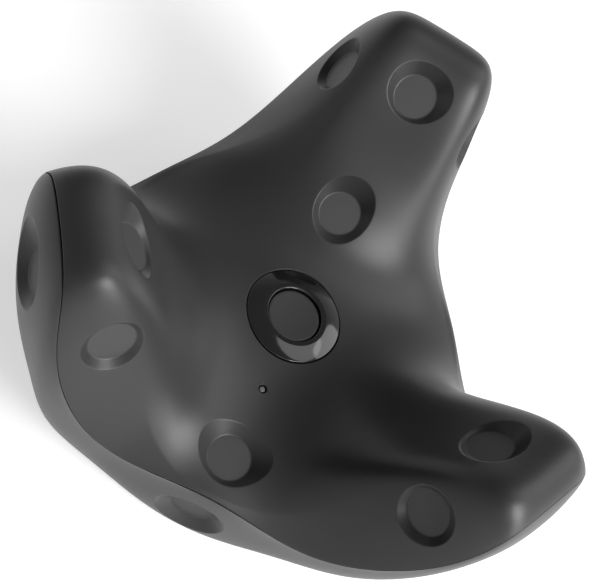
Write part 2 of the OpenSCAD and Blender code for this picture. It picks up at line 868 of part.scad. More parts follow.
// How much further in a sensor sits where its window leans away from the cover's slope
function lean(w) =
    let (e = 0.1)
    let (sx = (cover_at(w[0][0] + e, w[0][1]) - cover_at(w[0][0] - e, w[0][1])) / (2 * e))
    let (sy = (cover_at(w[0][0], w[0][1] + e) - cover_at(w[0][0], w[0][1] - e)) / (2 * e))
    let (axis = [cos(w[2]) * cos(w[1]), cos(w[2]) * sin(w[1]), sin(w[2])])
    0.6 * sensor_chip[0] * tan(acos(min(1, [-sx, -sy, 1] * axis / norm([sx, sy, 1]))));
module sensor(w, back = 0) {
    color([0.08, 0.16, 0.12])
    at_window(w)
        translate([0, 0, -w[4] - sensor_stack - back]) {
            cylinder(d = sensor_d, h = sensor_board_t);
            translate([-sensor_chip[0] / 2, -sensor_chip[1] / 2, sensor_board_t])
                cube(sensor_chip);
        }
}
module inner_sensor(k) {
    sensor(inner_window(k), lean(inner_window(k)));
}
// Radius and height of a point that is in from an inner window, and down along it
function behind_inner(deep, down) = [
    inner_u + deep * cos(inner_tilt) - down * sin(inner_tilt),
    cover_at(0, inner_u) - deep * sin(inner_tilt) - down * cos(inner_tilt)];
flex_start_u = flex_connector_u + flex_size[0] / 2 + 2 * seat_gap;
flex_run_z = board_top + 1.7;
flex_path = [
    [flex_start_u, board_top + 0.55], [18.6, flex_run_z], [25.5, flex_run_z], [28.8, flex_run_z + 3.2],
    behind_inner(window_depth + sensor_stack + lean(inner_window(0)) + 0.4, 1.4)];
module arm_flex(k) {
    lower = [for (p = flex_path) [p[0] + flex_t * 0.7, p[1] - flex_t * 0.7]];
    upper = [for (i = [len(flex_path) - 1 : -1 : 0]) flex_path[i]];
    color([0.55, 0.35, 0.1])
    rotate(ARMS[k])
        rotate([90, 0, 0])
            translate([0, 0, -flex_w / 2])
                linear_extrude(flex_w)
                    polygon(concat(lower, upper));
}

top_cover();
bottom_shell();
button_ring();
power_button();
switch_plunger();
switch_body();
light_pipe();
status_led();
main_board();
processor_chip();
timing_chip();
motion_chip();
radio_chip();
charger_chip();
antenna();
battery_cell();
battery_connector();
battery_leads();
usb_receptacle();
usb_tongue();
inner_frame();
base_plate();
thread_insert();
friction_pad();
contact_block();
contact_pads();
cover_screws();
board_screws();
base_screws();
sensor(ramp_window, lean(ramp_window));  // sensor_ramp
sensor(dish_window, lean(dish_window));  // sensor_dish
for (k = [0 : 2]) {
    flex_connector(k);
    arm_flex(k);
    inner_sensor(k);
    sensor(flank_window(k, 1));
    sensor(flank_window(k, -1));
    sensor(end_window(k));
    sensor(under_window(k));
}
for (k = LOW_VALLEYS)
    sensor(low_window(k));
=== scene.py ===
import json
import math

import bpy
import numpy as np
from mathutils import Matrix, Vector


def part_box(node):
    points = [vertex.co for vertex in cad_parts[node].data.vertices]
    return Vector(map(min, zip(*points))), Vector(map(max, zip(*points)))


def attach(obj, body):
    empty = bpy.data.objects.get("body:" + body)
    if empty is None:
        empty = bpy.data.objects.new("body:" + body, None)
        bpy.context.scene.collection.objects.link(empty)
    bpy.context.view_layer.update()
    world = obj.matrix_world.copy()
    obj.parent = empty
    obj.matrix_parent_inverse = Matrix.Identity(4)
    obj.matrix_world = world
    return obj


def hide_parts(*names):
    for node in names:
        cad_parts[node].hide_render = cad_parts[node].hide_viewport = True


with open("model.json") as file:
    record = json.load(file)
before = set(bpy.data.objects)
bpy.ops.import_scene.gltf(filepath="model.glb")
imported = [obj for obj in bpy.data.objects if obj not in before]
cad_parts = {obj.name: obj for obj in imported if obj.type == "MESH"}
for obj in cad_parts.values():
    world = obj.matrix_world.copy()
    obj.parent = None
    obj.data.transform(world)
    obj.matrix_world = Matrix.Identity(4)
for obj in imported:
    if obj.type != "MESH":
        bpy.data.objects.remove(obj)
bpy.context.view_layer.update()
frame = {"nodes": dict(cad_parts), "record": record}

# All sizes below are in millimetres, and a mesh is scaled to metres when it is made
MM = 0.001

# The outer surface: three arms, with a valley between each two, round a dished centre. The seam lies on its outline
ARMS = np.radians([90, 210, 330])
VALLEYS = np.radians([270, 30, 150])
CENTRE_Z = 20.4
VALLEY_R = 28.5
ARM_R = 39.7
DROOP_REF = 28
CORNER_REF = 12
FALL_START = 0.65
# Where the root of an arm starts to fade, and over what length. Where an arm's rise ends, as a share of its run
ROOT = (10, 22)
RISE_LIMIT = 1.45
FLARE_AT = 30
# The form at the arms' ends, and that of the dish and the arms' roots. BLEND is the distance along an arm at which
# the second starts to turn into the first, and over what length
ENDS = dict(rise=25.3, start=11.8, end=36.7, power=1.0, half=12.75, flare=0.04, waist=0.0, crown=-0.2, flank=5.6,
            root_flank=5.6, bowl=0.0, drop=4.2, drop_power=4.2, tip=1.7, corner=1.65)
DISH_FORM = dict(rise=25.79, start=3.0, end=36.98, power=1.36, half=13.68, flare=-0.039, waist=-0.56, crown=-0.053,
                 flank=6.71, root_flank=1.79, bowl=-3.67, drop=5.56, drop_power=3.69, tip=2.6, corner=0.91)
BLEND = (19, 10)
OUTLINE_POWER = 19
TIP_POWER = 1.18
FOOT_R = 26.5
FOOT_Z = 0.4
FLOOR_Z = 2.6
WALL = 1.8
SEAM_GAP = 0.25
# The wall's curve as weights by azimuth: on an arm, in a valley, on a flank
WALL_BULGE = (6.3, 0.1, -3.15)
WALL_START = (0.18, 0.16, 0.15)
WALL_REACH = (0.64, 0.84, 0.74)


def outline_r(a):
    total = 0
    for arm, valley in zip(ARMS, VALLEYS):
        total = total + (np.maximum(0, np.cos(a - arm)) ** TIP_POWER / ARM_R) ** OUTLINE_POWER
        total = total + (np.maximum(0, np.cos(a - valley)) ** TIP_POWER / VALLEY_R) ** OUTLINE_POWER
    return total ** (-1 / OUTLINE_POWER)


def smooth(t):
    return t * t * (3 - 2 * t)


def form_z(x, y, f):
    """Height of the cover's outside in one of the two forms."""
    z = np.full(np.broadcast(x, y).shape, CENTRE_Z, float)
    for arm in ARMS:
        u = x * np.cos(arm) + y * np.sin(arm)
        v = y * np.cos(arm) - x * np.sin(arm)
        t = np.clip((u - f["start"]) / (f["end"] - f["start"]), 0, RISE_LIMIT)
        root = 1 - smooth(np.clip((u - ROOT[0]) / ROOT[1], 0, 1))
        q = np.abs(v) / (f["half"] + f["flare"] * (u - FLARE_AT) + f["waist"] * root)
        power = f["flank"] + (f["root_flank"] - f["flank"]) * root
        rise = smooth(np.where(t < 1, t ** f["power"], t))
        z = z + f["rise"] * rise / (1 + f["crown"] * q * q + q ** power)
    r = np.hypot(x, y)
    a = np.arctan2(y, x)
    arm_share = 0.5 * (1 - np.sin(3 * a))
    off_arm = (a - ARMS[0] + math.pi / 3) % (2 * math.pi / 3) - math.pi / 3
    rim = np.maximum(0, r / outline_r(a) - FALL_START) / (1 - FALL_START)
    z = z - f["drop"] * (r / DROOP_REF) ** f["drop_power"] * (1 - arm_share)
    bowl = np.minimum(1, (r / DROOP_REF) ** 2)
    z = z + f["bowl"] * bowl * (1 - bowl)
    return z - arm_share * (f["tip"] + f["corner"] * (r * np.sin(off_arm) / CORNER_REF) ** 2) * rim ** 2


def cover_z(x, y):
    """Height of the cover's outside."""
    along = np.max([x * np.cos(arm) + y * np.sin(arm) for arm in ARMS], axis=0)
    share = smooth(np.clip((along - BLEND[0]) / BLEND[1], 0, 1))
    return form_z(x, y, ENDS) * share + form_z(x, y, DISH_FORM) * (1 - share)


# How far the cover's inside may lie below its outside on steep slopes, in walls
STEEP_LIMIT = 2.6


def inside_z(x, y):
    """Height of the cover's inside."""
    e = 0.1
    sx = (cover_z(x + e, y) - cover_z(x - e, y)) / (2 * e)
    sy = (cover_z(x, y + e) - cover_z(x, y - e)) / (2 * e)
    return cover_z(x, y) - WALL * np.minimum(STEEP_LIMIT, np.sqrt(1 + sx * sx + sy * sy))


def by_az(w, a):
    """Mixes three weights by azimuth: arm, valley, flank."""
    c = -np.sin(3 * a)
    arm, valley = np.maximum(0, c) ** 2, np.maximum(0, -c) ** 2
    return w[0] * arm + w[1] * valley + w[2] * (1 - arm - valley)


def bezier(p, t):
    return (1 - t) ** 3 * p[0] + 3 * (1 - t) ** 2 * t * p[1] + 3 * (1 - t) * t * t * p[2] + t ** 3 * p[3]


def wall_rz(a, t):
    """Radius and height of the outside wall, from the seam (t 0) to the foot (t 1)."""
    r = outline_r(a)
    h = cover_z(r * np.cos(a), r * np.sin(a)) - FOOT_Z
    radius = bezier((r, r + by_az(WALL_BULGE, a), FOOT_R + by_az(WALL_REACH, a) * (r - FOOT_R), FOOT_R), t)
    return radius, FOOT_Z + bezier((h, h * (1 - by_az(WALL_START, a)), 0, 0), t)


def wall_r(a, z):
    """Radius of the outside wall at a height, by halving."""
    low, high = np.zeros_like(a + z), np.ones_like(a + z)
    for _ in range(26):
        mid = (low + high) / 2
        above = wall_rz(a, mid)[1] > z
        low, high = np.where(above, mid, low), np.where(above, high, mid)
    return wall_rz(a, low)[0]


def polar(r, z, a):
    return np.stack([r * np.cos(a), r * np.sin(a), z + 0 * r], -1)


def over_cover(p):
    """Above 0 outside the cover, below 0 inside."""
    return p[..., 2] - cover_z(p[..., 0], p[..., 1])


def over_wall(p):
    """Above 0 outside the bottom shell's wall, below 0 inside."""
    a = np.arctan2(p[..., 1], p[..., 0])
    return np.hypot(p[..., 0], p[..., 1]) - wall_r(a, p[..., 2])


def unit(v):
    return v / np.maximum(np.linalg.norm(v, axis=-1, keepdims=True), 1e-12)


def field_normal(field, p, e=0.02):
    steps = np.eye(3) * e
    return unit(np.stack([field(p + s) - field(p - s) for s in steps], -1))


# Azimuths of the shells' grid, spaced evenly along the surface
SIDES = 660


def even_azimuths():
    a = ARMS[0] + np.linspace(0, 2 * math.pi, 7201)
    length = np.zeros(len(a) - 1)
    for share in (0.6, 0.8, 1.0):
        r = share * outline_r(a)
        p = polar(r, cover_z(r * np.cos(a), r * np.sin(a)), a)
        length = length + np.linalg.norm(np.diff(p, axis=0), axis=1)
    run = np.concatenate([[0], np.cumsum(length)])
    return np.interp(np.linspace(0, run[-1], SIDES + 1)[:-1], run, a)


AZ = even_azimuths()


class Skin:
    """A mesh in the making: points, their normals, and faces with a material number each."""

    def __init__(self):
        self.points, self.normals, self.faces, self.marks, self.count = [], [], [], [], 0

    def add(self, points, normals=None):
        points = np.asarray(points, float).reshape(-1, 3)
        self.points.append(points)
        self.normals.append(np.zeros_like(points) if normals is None else np.asarray(normals).reshape(-1, 3))
        self.count += len(points)
        return np.arange(self.count - len(points), self.count)

    def put(self, faces, mark=0):
        faces = np.asarray(faces).tolist()
        self.faces += faces
        self.marks += [mark] * len(faces)

    def band(self, outer, inner, mark=0):
        """Faces between two rings of equal count. Both run anticlockwise, seen from outside."""
        self.put(np.stack([outer, np.roll(outer, -1), np.roll(inner, -1), inner], -1), mark)

    def fan(self, ring, centre, mark=0):
        self.put(np.stack([ring, np.roll(ring, -1), np.full(len(ring), centre)], -1), mark)

    def zip(self, loop, ring, angles, ring_angles, mark=0):
        """Triangles between an outer loop and an inner ring of another count, by angle."""
        start = int(np.argmin(np.abs((angles - ring_angles[0] + math.pi) % (2 * math.pi) - math.pi)))
        loop, angles = np.roll(loop, -start), np.roll(angles, -start)
        base = ring_angles[0] + (angles[0] - ring_angles[0] + math.pi) % (2 * math.pi) - math.pi
        turn = base + np.concatenate([[0], np.cumsum(
            (np.diff(np.append(angles, angles[0])) + math.pi) % (2 * math.pi) - math.pi)])
        step = np.append(ring_angles, ring_angles[0] + 2 * math.pi)
        loop, ring = np.append(loop, loop[0]), np.append(ring, ring[0])
        i = j = 0
        while i < len(loop) - 1 or j < len(ring) - 1:
            if j == len(ring) - 1 or (i < len(loop) - 1 and turn[i + 1] <= step[j + 1]):
                self.put([[loop[i], loop[i + 1], ring[j]]], mark)
                i += 1
            else:
                self.put([[loop[i], ring[j + 1], ring[j]]], mark)
                j += 1

    def closed_grid(self, rings, normals, skip):
        """Faces of rings joined each to the next and the last to the first, without the faces in skip."""
        rows, columns = rings.shape[:2]
        index = self.add(rings, normals).reshape(rows, columns)
        quads = np.stack([
            index, np.roll(index, -1, 0), np.roll(np.roll(index, -1, 0), -1, 1), np.roll(index, -1, 1)], -1)
        self.put(quads[~skip])
        return quads

    def object(self, name, materials, body="housing"):
        mesh = bpy.data.meshes.new(name)
        used, renumbered = np.unique(np.concatenate([np.ravel(f) for f in self.faces]), return_inverse=True)
        renumbered = renumbered.tolist()
        faces, at = [], 0
        for f in self.faces:
            faces.append(renumbered[at:at + len(f)])
            at += len(f)
        points = np.concatenate(self.points)[used] * MM
        mesh.from_pydata(points.tolist(), [], faces)
        mesh.polygons.foreach_set("material_index", np.array(self.marks, np.int32))
        mesh.polygons.foreach_set("use_smooth", np.ones(len(self.faces), bool))
        for m in materials:
            mesh.materials.append(m)
        mesh.update()
        mesh.normals_split_custom_set_from_vertices(unit(np.concatenate(self.normals)[used]).tolist())
        made = bpy.data.objects.new(name, mesh)
        bpy.context.scene.collection.objects.link(made)
        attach(made, body)
        return made


def grid_normals(rings):
    along = np.roll(rings, -1, 0) - np.roll(rings, 1, 0)
    across = np.roll(rings, -1, 1) - np.roll(rings, 1, 1)
    return unit(np.cross(along, across))


def curve(a, corner, b, steps):
    """Points of a rounding from a to b, inside a corner, without its two ends."""
    t = (np.arange(1, steps) / steps)[:, None, None]
    return (1 - t) ** 2 * a + 2 * t * (1 - t) * corner + t * t * b


def loop_of(quads):
    """The outline of a patch of faces, in order, in the faces' own direction."""
    edges = set()
    for q in quads.tolist():
        for k in range(4):
            edges.add((q[k], q[(k + 1) % 4]))
    after = {a: b for a, b in edges if (b, a) not in edges}
    first = min(after)
    loop, here = [first], after[first]
    while here != first:
        loop.append(here)
        here = after[here]
    if len(loop) != len(after):
        raise ValueError("a window's patch has more than one outline")
    return np.array(loop)


# Windows and other openings in the shells
WINDOW_FLOOR_R = 3.1
WINDOW_DEPTH = 1.25
WINDOW_SLOPE = 1.1
SIDE_FLOOR_R = 3.0
SIDE_SLOPE = 1.43
WINDOW_T = 0.7
CUP_RIM = 1
ROUND = 72
RIM_FILLET = 0.13
FLOOR_FILLET = 0.16


class Site:
    """A place on a shell with an axis out of it: a round window, or an opening that goes through."""

    def __init__(self, point, azimuth, elevation, field):
        self.point, self.field = np.array(point, float), field
        a, e = azimuth, math.radians(elevation)
        self.axis = np.array([math.cos(e) * math.cos(a), math.cos(e) * math.sin(a), math.sin(e)])
        self.e1 = np.array([-math.sin(a), math.cos(a), 0])
        self.e2 = np.cross(self.axis, self.e1)

    def local(self, p):
        d = p - self.point
        return d @ self.e1, d @ self.e2, d @ self.axis

    def place(self, x, y, h):
        return self.point + np.multiply.outer(x, self.e1) + np.multiply.outer(y, self.e2) \
            + np.multiply.outer(h, self.axis)

    def on_surface(self, x, y):
        low, high = np.full(len(x), -5.0), np.full(len(x), 5.0)
        for _ in range(36):
            mid = (low + high) / 2
            out = self.field(self.place(x, y, mid)) > 0
            low, high = np.where(out, low, mid), np.where(out, mid, high)
        return self.place(x, y, low)


class Window(Site):
    """A round recess: a cone down to a flat floor."""

    def __init__(self, point, azimuth, elevation, field, floor_r, depth, slope):
        super().__init__(point, azimuth, elevation, field)
        self.floor_r, self.depth, self.slope = floor_r, depth, slope
        self.angles = np.arange(ROUND) * 2 * math.pi / ROUND
        self.cos, self.sin = np.cos(self.angles), np.sin(self.angles)
        low, high = np.zeros(ROUND), np.full(ROUND, depth + 5.0)
        for _ in range(36):
            mid = (low + high) / 2
            out = field(self.cone(mid)) > 0
            low, high = np.where(out, low, mid), np.where(out, mid, high)
        self.rim_s = low
        self.rim_r = floor_r + low * slope

    def cone(self, s):
        r = self.floor_r + s * self.slope
        return self.place(r * self.cos, r * self.sin, s - self.depth)

    def margin(self, p):
        """How far points are outside the rim, seen along the axis, and their height."""
        x, y, h = self.local(p)
        around = np.arctan2(y, x) % (2 * math.pi)
        rim = np.interp(around, np.append(self.angles, 2 * math.pi), np.append(self.rim_r, self.rim_r[0]))
        return np.hypot(x, y) - rim, h

    def fill(self, skin, loop, edge):
        spot = np.concatenate(skin.points)[loop]
        x, y, _ = self.local(spot)
        rings, normals, marks = [], [], []

        def ring(points, normal, mark=0):
            rings.append(points)
            normals.append(normal)
            marks.append(mark)

        for off in (edge, edge * 0.45, RIM_FILLET):
            r = self.rim_r + off
            p = self.on_surface(r * self.cos, r * self.sin)
            ring(p, field_normal(self.field, p))
        direction = self.place(self.cos, self.sin, 0 * self.cos) - self.point
        cone_normal = unit(self.axis * self.slope - direction)
        back = RIM_FILLET / math.hypot(1, self.slope)
        start, rim, end = rings[-1], self.cone(self.rim_s), self.cone(self.rim_s - back)
        steps = 5
        for k, p in enumerate(curve(start, rim, end, steps), 1):
            ring(p, unit(normals[2] * (1 - k / steps) + cone_normal * k / steps))
        low_s = FLOOR_FILLET / math.hypot(1, self.slope)
        for share in (0, 0.25, 0.5, 0.75, 1):
            s = (self.rim_s - back) * (1 - share) + low_s * share
            ring(self.cone(s), cone_normal)
        up = np.broadcast_to(self.axis, (ROUND, 3))
        inner = self.floor_r - FLOOR_FILLET
        flat = self.place(inner * self.cos, inner * self.sin, np.full(ROUND, -self.depth))
        steps = 4
        for k, p in enumerate(curve(rings[-1], self.cone(np.zeros(ROUND)), flat, steps), 1):
            ring(p, unit(cone_normal * (1 - k / steps) + up * k / steps))
        for share in (1, 0.8, 0.55, 0.25):
            r = inner * share
            ring(self.place(r * self.cos, r * self.sin, np.full(ROUND, -self.depth)), up, 1)
        index = [skin.add(p, n) for p, n in zip(rings, normals)]
        skin.zip(loop, index[0], np.arctan2(y, x), self.angles)
        for k in range(len(index) - 1):
            skin.band(index[k], index[k + 1], marks[k])
        centre = skin.add(self.place(np.zeros(1), np.zeros(1), np.full(1, -self.depth)), self.axis[None])
        skin.fan(index[-1], centre[0], 1)

    def cup(self, p):
        """Moves the inside of a wall clear of the recess."""
        x, y, h = self.local(p)
        r = np.hypot(x, y)
        limit = -self.depth - WINDOW_T + np.maximum(0, r - self.floor_r - CUP_RIM) / self.slope
        move = np.where((np.abs(h) < 8) & (r < self.floor_r + 8), np.minimum(0, limit - h), 0)
        return p + move[..., None] * self.axis


class Opening(Site):
    """An opening with straight walls, as wide as a slot with round ends, that goes through a shell."""

    def __init__(self, point, azimuth, elevation, field, width, height, depth):
        super().__init__(point, azimuth, elevation, field)
        self.half, self.r, self.depth = (width - height) / 2, height / 2, depth
        n = ROUND if self.half > 0 else ROUND // 2
        turn = (np.arange(n) + 0.5) * 2 * math.pi / n
        self.flat = np.sign(np.cos(turn)) * self.half
        self.normal = np.stack([np.cos(turn), np.sin(turn)])

    def outline(self, off):
        return self.flat + self.normal[0] * (self.r + off), self.normal[1] * (self.r + off)

    def margin(self, p):
        x, y, h = self.local(p)
        return np.hypot(np.maximum(np.abs(x) - self.half, 0), y) - self.r, h

    def fill(self, skin, loop, edge):
        spot = np.concatenate(skin.points)[loop]
        x, y, _ = self.local(spot)
        rings, normals = [], []
        for off in (edge, edge * 0.45, RIM_FILLET):
            p = self.on_surface(*self.outline(off))
            rings.append(p)
            normals.append(field_normal(self.field, p))
        rim = self.on_surface(*self.outline(0))
        side = self.place(-self.normal[0], -self.normal[1], 0 * self.normal[0]) - self.point
        end = rim - self.axis * RIM_FILLET
        steps = 5
        outer = normals[2]
        for k, p in enumerate(curve(rings[2], rim, end, steps), 1):
            rings.append(p)
            normals.append(unit(outer * (1 - k / steps) + side * k / steps))
        x0, y0 = self.outline(0)
        rings += [end, self.place(x0, y0, np.full(len(x0), -self.depth))]
        normals += [side, side]
        index = [skin.add(p, n) for p, n in zip(rings, normals)]
        x1, y1 = self.outline(edge)
        skin.zip(loop, index[0], np.arctan2(y, x), np.unwrap(np.arctan2(y1, x1)))
        for k in range(len(index) - 1):
            skin.band(index[k], index[k + 1])
        return index[-1]

    def fill_back(self, skin, loop, last):
        """Joins the inside of the wall to the opening's inner edge, seen from the inside."""
        spot = np.concatenate(skin.points)[loop]
        x, y, _ = self.local(spot)
        x1, y1 = self.outline(0.3)
        ring = skin.add(self.place(x1, y1, np.full(len(x1), -self.depth)))[::-1]
        skin.zip(loop, ring, np.arctan2(-y, x), np.unwrap(np.arctan2(-y1, x1)[::-1]))
        skin.band(ring, last[::-1])


def shell(rings, outer_rows, inner_rows, sites, cups, edge=0.7):
    """A closed shell from its rings, with its windows and openings let in."""
    for w in cups:
        rings[inner_rows] = w.cup(rings[inner_rows])
    rows, columns = rings.shape[:2]
    skip = np.zeros((rows, columns), bool)
    patches, backs = [], []

    def faces_near(near):
        hit = near | np.roll(near, -1, 0)
        return hit | np.roll(hit, -1, 1)

    for s in sites:
        margin, h = s.margin(rings)
        near = np.zeros((rows, columns), bool)
        near[outer_rows] = ((margin < edge + 0.3) & (np.abs(h) < 6.5))[outer_rows]
        patches.append(faces_near(near))
        skip |= patches[-1]
        backs.append(None)
        if isinstance(s, Opening):
            near = np.zeros((rows, columns), bool)
            near[inner_rows] = ((margin < 1.3) & (np.abs(h + s.depth) < 2.5))[inner_rows]
            backs[-1] = faces_near(near)
            skip |= backs[-1]
    skin = Skin()
    quads = skin.closed_grid(rings, grid_normals(rings), skip)
    for s, patch, back in zip(sites, patches, backs):
        last = s.fill(skin, loop_of(quads[patch]), edge)
        if back is not None:
            s.fill_back(skin, loop_of(quads[back]), last)
    return skin


def arm_point(k, u, v):
    return (u * math.cos(ARMS[k]) - v * math.sin(ARMS[k]), u * math.sin(ARMS[k]) + v * math.cos(ARMS[k]))


def top_window(x, y, azimuth, elevation):
    return Window(
        (x, y, float(cover_z(np.array(x), np.array(y)))), azimuth, elevation, over_cover,
        WINDOW_FLOOR_R, WINDOW_DEPTH, WINDOW_SLOPE)


def side_window(azimuth, z, elevation, depth):
    r = float(wall_r(np.array([azimuth]), np.array([z]))[0])
    return Window(
        (r * math.cos(azimuth), r * math.sin(azimuth), z), azimuth, elevation, over_wall,
        SIDE_FLOOR_R, depth, SIDE_SLOPE)


# Places of the windows, as distances along and across an arm or as a height, each with the tilt of its axis. Those
# in the wall have their depth last
INNER_WINDOW = (28.9, 0, 50)
FLANK_WINDOW = (31.6, 11.3, 20)
FLANK_TURN = math.radians(96)
END_WINDOW = (31.53, 8, 2.2)
UNDER_WINDOW = (14, -25, 1.8)
RAMP_WINDOW = (16.35, 0.2, 56)
DISH_WINDOW = (0, -22.6, 80)
LOW_WINDOW = (6.4, 0, 1.8)

top_windows, side_windows = [], []
for k in range(3):
    top_windows.append(top_window(*arm_point(k, *INNER_WINDOW[:2]), ARMS[k] + math.pi, INNER_WINDOW[2]))
    for side in (1, -1):
        top_windows.append(top_window(
            *arm_point(k, FLANK_WINDOW[0], side * FLANK_WINDOW[1]), ARMS[k] + side * FLANK_TURN, FLANK_WINDOW[2]))
    side_windows.append(side_window(ARMS[k], *END_WINDOW))
    side_windows.append(side_window(ARMS[k], *UNDER_WINDOW))
top_windows.append(top_window(*arm_point(0, *RAMP_WINDOW[:2]), ARMS[0] + math.pi, RAMP_WINDOW[2]))
top_windows.append(top_window(*DISH_WINDOW[:2], VALLEYS[0], DISH_WINDOW[2]))
for k in (0, 2):
    side_windows.append(side_window(VALLEYS[k], *LOW_WINDOW))

# The seat of the button's ring, the status light's hole and the charging port's opening
SEAT_R = 7.15
SEAT_Z = 19.3
SLEEVE_R = 5.35
SEAT_FILLET = 0.12
SEAM_FILLET = 0.12
LIGHT_R = 12.3
LIGHT_HOLE = 1.2
USB_Z = sum(v.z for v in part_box("usb_receptacle")) / 2 / MM
USB_OPENING = (9.44, 3.66)
# How many rings the outside and the inside of a shell have
OUTER_RINGS = 96
INNER_RINGS = 9
# The underside: the rim round the pad, the pad's seat and the opening over the base plate
PAD_RIM_R = 25.8
PAD_SEAT_R = 25.15
PAD_CHAMFER = 0.1
PAD_SEAT_Z = 0.8
PLATE_R = 19.15


def on_rings(r, z):
    return polar(r + 0 * AZ, z + 0 * AZ, AZ)


def cover_skin():
    edge_r = outline_r(AZ)
    low = on_rings(SLEEVE_R, CENTRE_Z - WALL)
    rings = [low, on_rings(SLEEVE_R, SEAT_Z), on_rings(SEAT_R, SEAT_Z)]
    start = SEAT_R + SEAT_FILLET
    top = on_rings(SEAT_R, cover_z(SEAT_R * np.cos(AZ), SEAT_R * np.sin(AZ)))
    down = top - [0, 0, SEAT_FILLET]
    out = on_rings(start, cover_z(start * np.cos(AZ), start * np.sin(AZ)))
    rings += [down, *curve(down, top, out, 4), out]
    first = len(rings) - 1
    inner_edge = edge_r - SEAM_FILLET
    for k in range(1, OUTER_RINGS + 1):
        r = start + (inner_edge - start) * (k / OUTER_RINGS) ** 0.93
        lift = SEAM_GAP / 2 * smooth(np.clip((r / edge_r - 0.94) / 0.06, 0, 1))
        rings.append(polar(r, cover_z(r * np.cos(AZ), r * np.sin(AZ)) + lift, AZ))
    last = len(rings)
    rim_z = cover_z(edge_r * np.cos(AZ), edge_r * np.sin(AZ)) + SEAM_GAP / 2
    slant = SEAM_FILLET * math.sqrt(0.5)
    land = polar(edge_r - slant, rim_z - slant, AZ)
    rings += [*curve(rings[-1], polar(edge_r, rim_z, AZ), land, 4), land]
    in_first = len(rings)
    in_r = edge_r - WALL
    rings.append(polar(in_r, rim_z - WALL, AZ))
    in_z = inside_z(in_r * np.cos(AZ), in_r * np.sin(AZ))
    rings.append(polar(in_r - 0.05, np.maximum(in_z, rim_z - WALL + 0.05), AZ))
    for k in range(1, INNER_RINGS):
        r = in_r + (SLEEVE_R - in_r) * k / INNER_RINGS
        rings.append(polar(r, inside_z(r * np.cos(AZ), r * np.sin(AZ)), AZ))
    rings = np.array(rings)
    light = Opening((0, -LIGHT_R, float(cover_z(np.array(0.0), np.array(-LIGHT_R)))), VALLEYS[0], 90,
                    over_cover, LIGHT_HOLE, LIGHT_HOLE, WALL)
    return shell(rings, slice(first, last), slice(in_first + 1, len(rings)), [*top_windows, light], top_windows)


def bottom_skin():
    edge_r = outline_r(AZ)
    rim_z = cover_z(edge_r * np.cos(AZ), edge_r * np.sin(AZ))
    slant = SEAM_FILLET * math.sqrt(0.5)
    low_edge = rim_z - SEAM_GAP / 2
    land = polar(edge_r - slant, low_edge - slant, AZ)
    r1, z1 = wall_rz(AZ, 0.001)
    speed = np.hypot(r1 - edge_r, z1 - rim_z) / 0.001
    t0 = (SEAM_FILLET + SEAM_GAP / 2) / speed
    rings = []
    for k in range(OUTER_RINGS + 1):
        r, z = wall_rz(AZ, t0 + (1 - t0) * k / OUTER_RINGS)
        rings.append(polar(r, z, AZ))
    outer_end = len(rings)
    rings += [on_rings(PAD_RIM_R, FOOT_Z), on_rings(PAD_SEAT_R + PAD_CHAMFER, FOOT_Z),
              on_rings(PAD_SEAT_R, FOOT_Z + PAD_CHAMFER), on_rings(PAD_SEAT_R, PAD_SEAT_Z),
              on_rings(PLATE_R, PAD_SEAT_Z), on_rings(PLATE_R, FLOOR_Z)]
    in_first = len(rings)
    in_r = edge_r - WALL
    in_z = inside_z(in_r * np.cos(AZ), in_r * np.sin(AZ))
    in_z = np.minimum(in_z, low_edge - WALL - 0.1)
    for k in range(INNER_RINGS, 0, -1):
        r, z = wall_rz(AZ, k / INNER_RINGS)
        rings.append(polar(r - WALL, FLOOR_Z + (z - FOOT_Z) * (in_z - FLOOR_Z) / (rim_z - FOOT_Z), AZ))
    rings.append(polar(in_r, low_edge - WALL, AZ))
    in_last = len(rings) - 1
    rings.append(land)
    rings += [*curve(land, polar(edge_r, low_edge, AZ), rings[0], 4)]
    rings = np.array(rings)
    a = VALLEYS[1]
    r = float(wall_r(np.array([a]), np.array([USB_Z]))[0])
    port = Opening((r * math.cos(a), r * math.sin(a), USB_Z), a, 0, over_wall, *USB_OPENING, WALL)
    return shell(rings, slice(0, outer_end), slice(in_first, in_last), [*side_windows, port], side_windows)


# Materials. Shared effects are node groups that give values, normals or masks
def new_group(name, inputs, outputs):
    group = bpy.data.node_groups.new(name, "ShaderNodeTree")
    for label, kind, value in inputs:
        socket = group.interface.new_socket(label, in_out="INPUT", socket_type=kind)
        if value is not None:
            socket.default_value = value
    for label, kind in outputs:
        group.interface.new_socket(label, in_out="OUTPUT", socket_type=kind)
    return group, group.nodes.new("NodeGroupInput"), group.nodes.new("NodeGroupOutput")


def node(tree, kind, links=None, **values):
    made = tree.nodes.new(kind)
    for key, value in values.items():
        setattr(made, key, value)
    for socket, source in (links or {}).items():
        if isinstance(source, bpy.types.NodeSocket):
            tree.links.new(source, made.inputs[socket])
        else:
            made.inputs[socket].default_value = source
    return made


def noise(tree, vector, scale, detail=2.0, rough=0.5):
    return node(tree, "ShaderNodeTexNoise", {
        "Vector": vector, "Scale": scale, "Detail": detail, "Roughness": rough}).outputs["Fac"]


def math_node(tree, operation, a, b=0.0, clamp=False):
    made = node(tree, "ShaderNodeMath", {0: a, 1: b}, operation=operation, use_clamp=clamp)
    return made.outputs[0]


def spread(tree, value, low, high, to_low, to_high):
    return node(tree, "ShaderNodeMapRange", {
        "Value": value, "From Min": low, "From Max": high, "To Min": to_low, "To Max": to_high}).outputs["Result"]


